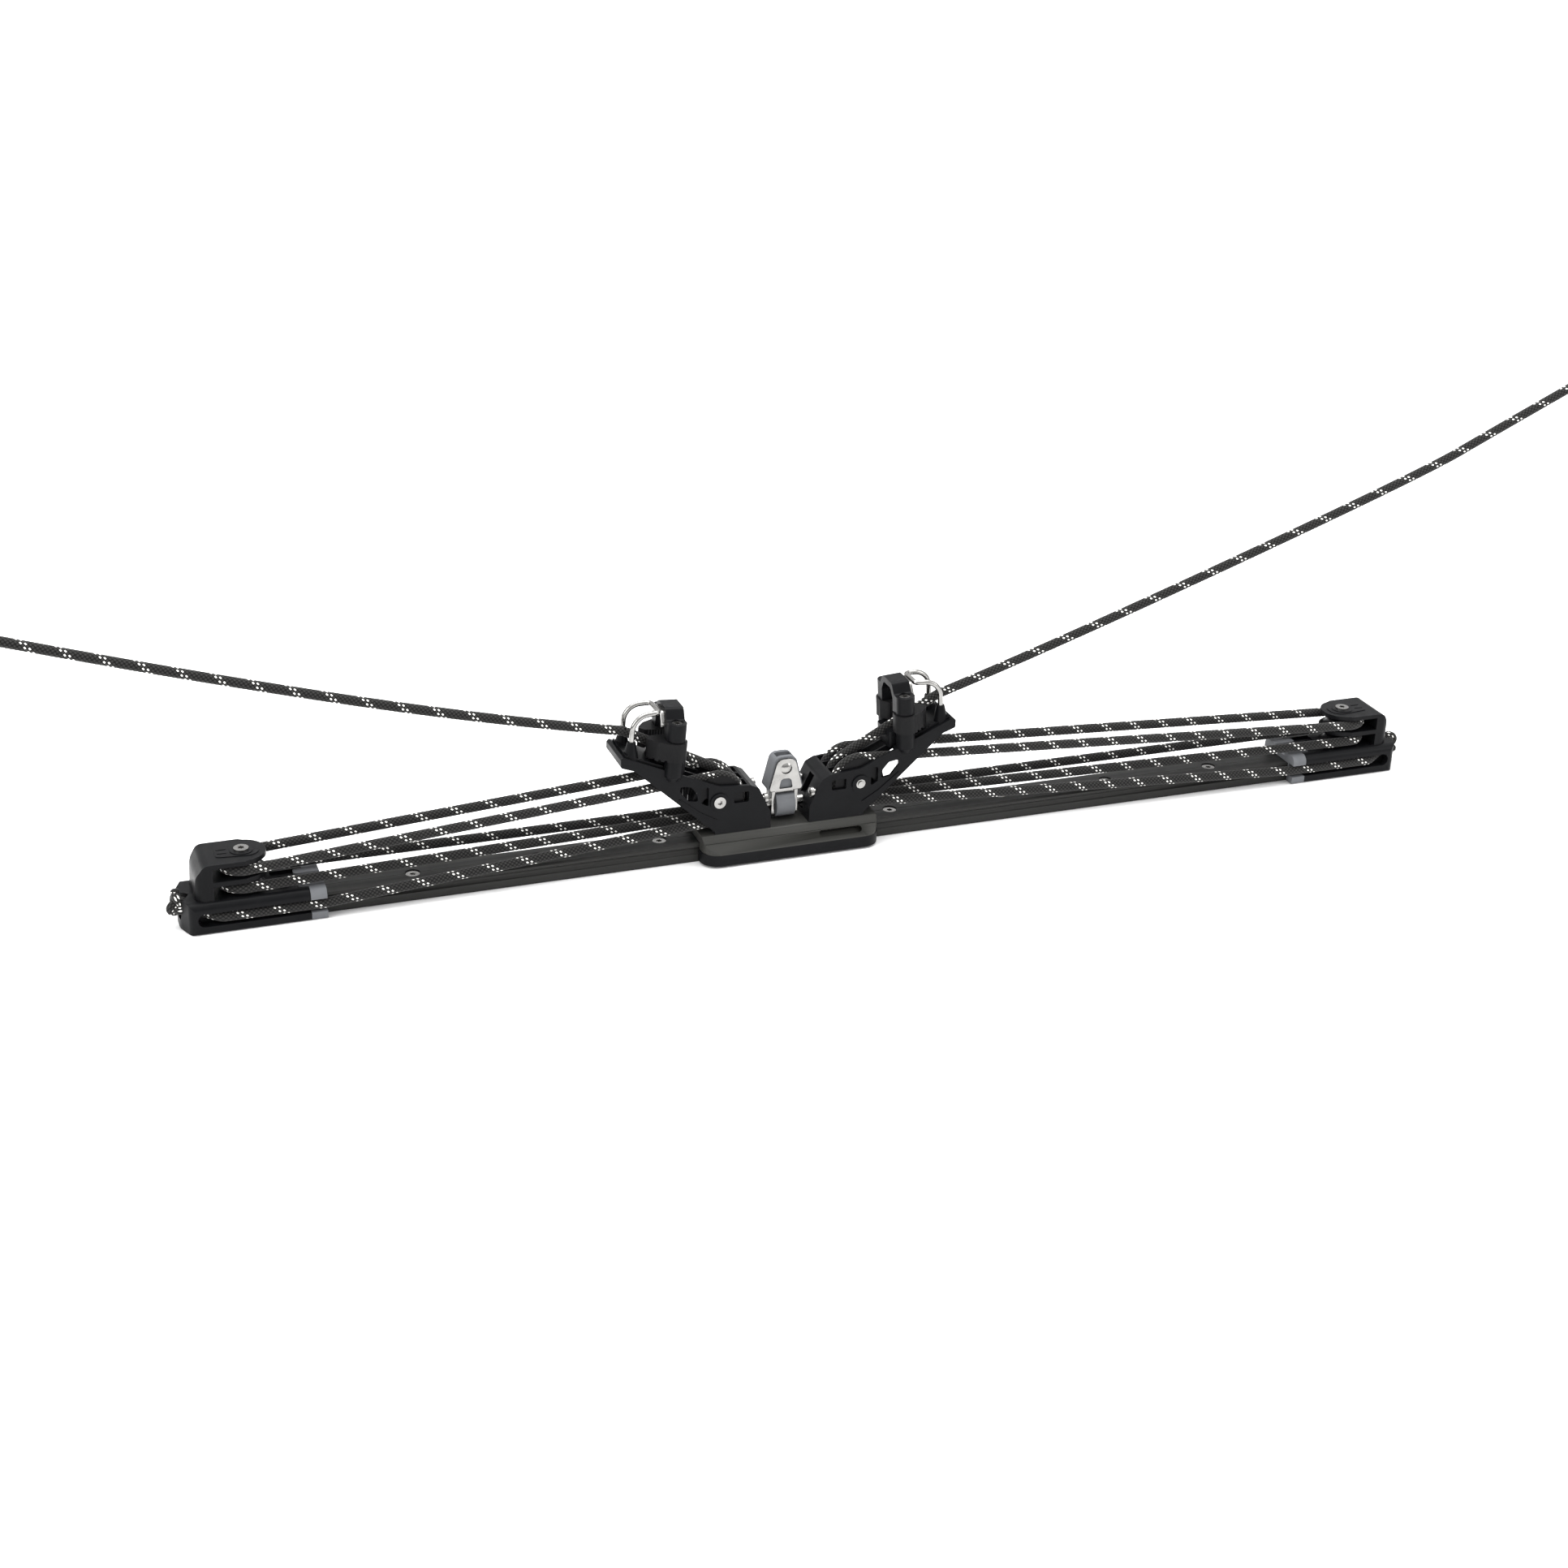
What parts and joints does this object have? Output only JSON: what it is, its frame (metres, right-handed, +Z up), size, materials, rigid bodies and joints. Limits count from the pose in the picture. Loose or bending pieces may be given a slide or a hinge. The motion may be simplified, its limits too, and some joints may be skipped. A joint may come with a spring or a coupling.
{
  "type": "mainsheet traveller",
  "caption": "Black mainsheet traveller: T-track, ball carriage with two cleat arms and a stand-up toggle, sheaved end fittings and black control lines.",
  "frame": {"origin": "middle of the track's underside, which is the middle of the whole bottom face", "axes": "+X along the track, +Y to the back, +Z up out of the deck"},
  "size_m": [1.3613, 0.066, 0.3474],
  "materials": {
    "track_anodised": "satin black anodised",
    "car_anodised": "satin olive-grey anodised",
    "stainless": "satin",
    "composite": "satin",
    "grey_plastic": "matte",
    "sheave_plastic": "satin",
    "cam_composite": "matte",
    "ball_plastic": "polished",
    "braid": "matte"
  },
  "bodies": {
    "base": {"end_axle_left": "stainless", "end_axle_right": "stainless", "end_base_left": "composite", "end_base_right": "composite", "end_stop_left": "grey_plastic", "end_stop_right": "grey_plastic", "line_at_end_left": "braid", "line_at_end_right": "braid", "line_knot_left": "braid", "line_knot_right": "braid", "line_legs_left": "braid", "line_legs_right": "braid", "track": "track_anodised", "track_screws": "stainless"},
    "carriage": {"arm_axle_left": "stainless", "arm_axle_right": "stainless", "arm_left": "composite", "arm_right": "composite", "car_balls": "ball_plastic", "car_skirt": "composite", "car_top": "car_anodised", "cleat_band_left": "stainless", "cleat_band_right": "stainless", "cleat_base_left": "composite", "cleat_base_right": "composite", "cleat_bridge_left": "composite", "cleat_bridge_right": "composite", "cleat_screws_left": "stainless", "cleat_screws_right": "stainless", "fairlead_left": "stainless", "fairlead_right": "stainless", "hanger_bolts_left": "stainless", "hanger_bolts_right": "stainless", "line_on_car_left": "braid", "line_on_car_right": "braid", "tail_knot_left": "braid", "tail_knot_right": "braid", "tail_left": "braid", "tail_right": "braid", "toggle_pin": "stainless"},
    "cam_back_left": {"cam_back_left": "cam_composite"},
    "cam_back_right": {"cam_back_right": "cam_composite"},
    "cam_front_left": {"cam_front_left": "cam_composite"},
    "cam_front_right": {"cam_front_right": "cam_composite"},
    "car_sheave_back_left": {"car_sheave_back_left": "sheave_plastic"},
    "car_sheave_back_right": {"car_sheave_back_right": "sheave_plastic"},
    "car_sheave_front_left": {"car_sheave_front_left": "sheave_plastic"},
    "car_sheave_front_right": {"car_sheave_front_right": "sheave_plastic"},
    "car_sheave_middle_left": {"car_sheave_middle_left": "sheave_plastic"},
    "car_sheave_middle_right": {"car_sheave_middle_right": "sheave_plastic"},
    "end_sheave_low_left": {"end_sheave_low_left": "sheave_plastic"},
    "end_sheave_low_right": {"end_sheave_low_right": "sheave_plastic"},
    "end_sheave_top_left": {"end_sheave_top_left": "sheave_plastic"},
    "end_sheave_top_right": {"end_sheave_top_right": "sheave_plastic"},
    "toggle_head": {"head_block": "grey_plastic", "head_plate_back": "stainless", "head_plate_front": "stainless", "head_rivet": "stainless"},
    "toggle_link": {"toggle_boot": "grey_plastic", "toggle_fork": "stainless"}
  },
  "joints": [
    {"name": "car_slide", "type": "slide", "parent": "base", "child": "carriage", "axis": [1, 0, 0], "range_m": [-0.298, 0.39], "deforming": ["line_legs_left", "line_legs_right"]},
    {"name": "car_sheave_front_left_spin", "type": "hinge", "parent": "carriage", "child": "car_sheave_front_left", "pos_m": [-0.1065, -0.0124, 0.0525], "axis": [0, 1, 0], "continuous": true},
    {"name": "car_sheave_middle_left_spin", "type": "hinge", "parent": "carriage", "child": "car_sheave_middle_left", "pos_m": [-0.1065, 0, 0.0525], "axis": [0, 1, 0], "continuous": true},
    {"name": "car_sheave_back_left_spin", "type": "hinge", "parent": "carriage", "child": "car_sheave_back_left", "pos_m": [-0.1065, 0.0124, 0.0525], "axis": [0, 1, 0], "continuous": true},
    {"name": "end_sheave_low_left_spin", "type": "hinge", "parent": "base", "child": "end_sheave_low_left", "pos_m": [-0.479, 0, 0.0304], "axis": [0, 0, 1], "continuous": true},
    {"name": "end_sheave_top_left_spin", "type": "hinge", "parent": "base", "child": "end_sheave_top_left", "pos_m": [-0.479, 0, 0.0452], "axis": [0, 0, 1], "continuous": true},
    {"name": "cam_front_left_swing", "type": "hinge", "parent": "carriage", "child": "cam_front_left", "pos_m": [-0.1435, -0.019, 0.10215], "axis": [0.0698, 0, 0.9976], "range_deg": [0, 24], "stiffness_Nm_per_rad": 0.05},
    {"name": "cam_back_left_swing", "type": "hinge", "parent": "carriage", "child": "cam_back_left", "pos_m": [-0.1435, 0.019, 0.10215], "axis": [0.0698, 0, 0.9976], "range_deg": [-24, 0], "stiffness_Nm_per_rad": 0.05},
    {"name": "car_sheave_front_right_spin", "type": "hinge", "parent": "carriage", "child": "car_sheave_front_right", "pos_m": [0.0145, -0.0124, 0.0525], "axis": [0, 1, 0], "continuous": true},
    {"name": "car_sheave_middle_right_spin", "type": "hinge", "parent": "carriage", "child": "car_sheave_middle_right", "pos_m": [0.0145, 0, 0.0525], "axis": [0, 1, 0], "continuous": true},
    {"name": "car_sheave_back_right_spin", "type": "hinge", "parent": "carriage", "child": "car_sheave_back_right", "pos_m": [0.0145, 0.0124, 0.0525], "axis": [0, 1, 0], "continuous": true},
    {"name": "end_sheave_low_right_spin", "type": "hinge", "parent": "base", "child": "end_sheave_low_right", "pos_m": [0.479, 0, 0.0304], "axis": [0, 0, 1], "continuous": true},
    {"name": "end_sheave_top_right_spin", "type": "hinge", "parent": "base", "child": "end_sheave_top_right", "pos_m": [0.479, 0, 0.0452], "axis": [0, 0, 1], "continuous": true},
    {"name": "cam_front_right_swing", "type": "hinge", "parent": "carriage", "child": "cam_front_right", "pos_m": [0.0515, -0.019, 0.10215], "axis": [-0.0698, 0, 0.9976], "range_deg": [-24, 0], "stiffness_Nm_per_rad": 0.05},
    {"name": "cam_back_right_swing", "type": "hinge", "parent": "carriage", "child": "cam_back_right", "pos_m": [0.0515, 0.019, 0.10215], "axis": [-0.0698, 0, 0.9976], "range_deg": [0, 24], "stiffness_Nm_per_rad": 0.05},
    {"name": "toggle_tilt", "type": "hinge", "parent": "carriage", "child": "toggle_link", "pos_m": [-0.046, 0, 0.036], "axis": [1, 0, 0], "range_deg": [-35, 35]},
    {"name": "head_tilt", "type": "hinge", "parent": "toggle_link", "child": "toggle_head", "pos_m": [-0.046, 0, 0.069], "axis": [0, 1, 0], "range_deg": [-7, 7]}
  ],
  "couplings": [
    {"joint": "car_sheave_front_left_spin", "follows": "car_slide", "rad_per_m": 50},
    {"joint": "car_sheave_middle_left_spin", "follows": "car_slide", "rad_per_m": 250},
    {"joint": "car_sheave_back_left_spin", "follows": "car_slide", "rad_per_m": -150},
    {"joint": "end_sheave_low_left_spin", "follows": "car_slide", "rad_per_m": -242.42},
    {"joint": "end_sheave_top_left_spin", "follows": "car_slide", "rad_per_m": 121.21},
    {"joint": "car_sheave_front_right_spin", "follows": "car_slide", "rad_per_m": 50},
    {"joint": "car_sheave_middle_right_spin", "follows": "car_slide", "rad_per_m": 250},
    {"joint": "car_sheave_back_right_spin", "follows": "car_slide", "rad_per_m": -150},
    {"joint": "end_sheave_low_right_spin", "follows": "car_slide", "rad_per_m": -242.42},
    {"joint": "end_sheave_top_right_spin", "follows": "car_slide", "rad_per_m": 121.21}
  ]
}
